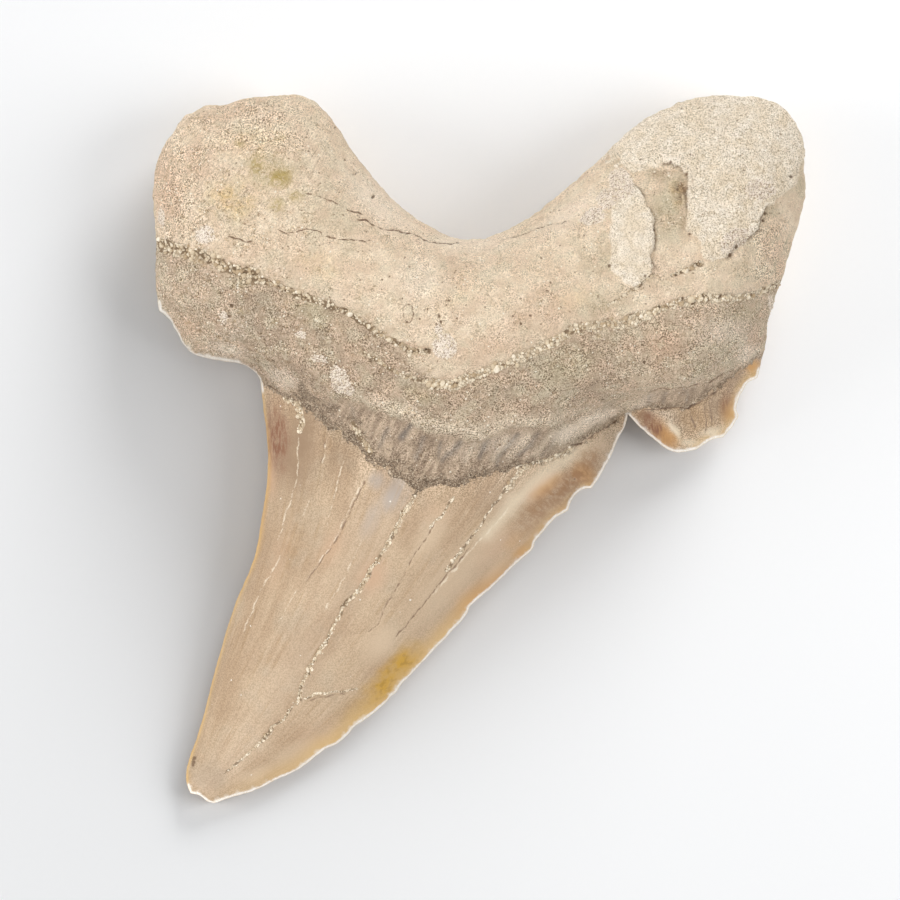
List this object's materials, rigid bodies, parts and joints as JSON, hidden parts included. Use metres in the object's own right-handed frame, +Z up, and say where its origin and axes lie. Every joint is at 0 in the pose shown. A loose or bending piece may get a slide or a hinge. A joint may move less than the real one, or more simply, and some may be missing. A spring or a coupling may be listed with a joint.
{
  "type": "fossil shark tooth",
  "caption": "Fossil shark tooth lying on its flat face: a leaning blade-like crown with chipped edges, a broad two-lobed root and a small side cusplet.",
  "frame": {"origin": "centre of the tooth's footprint, on the surface it lies on", "axes": "+Z up, out of the domed lingual face; +Y towards the root lobes, with the crown's tip towards -Y; +X towards the side cusplet"},
  "size_m": [0.0588, 0.0639, 0.0146],
  "materials": {
    "fossil_tooth": "sandy matt root, satin enamel crown"
  },
  "bodies": {
    "root": {"fossil_tooth": "fossil_tooth"}
  },
  "joints": []
}
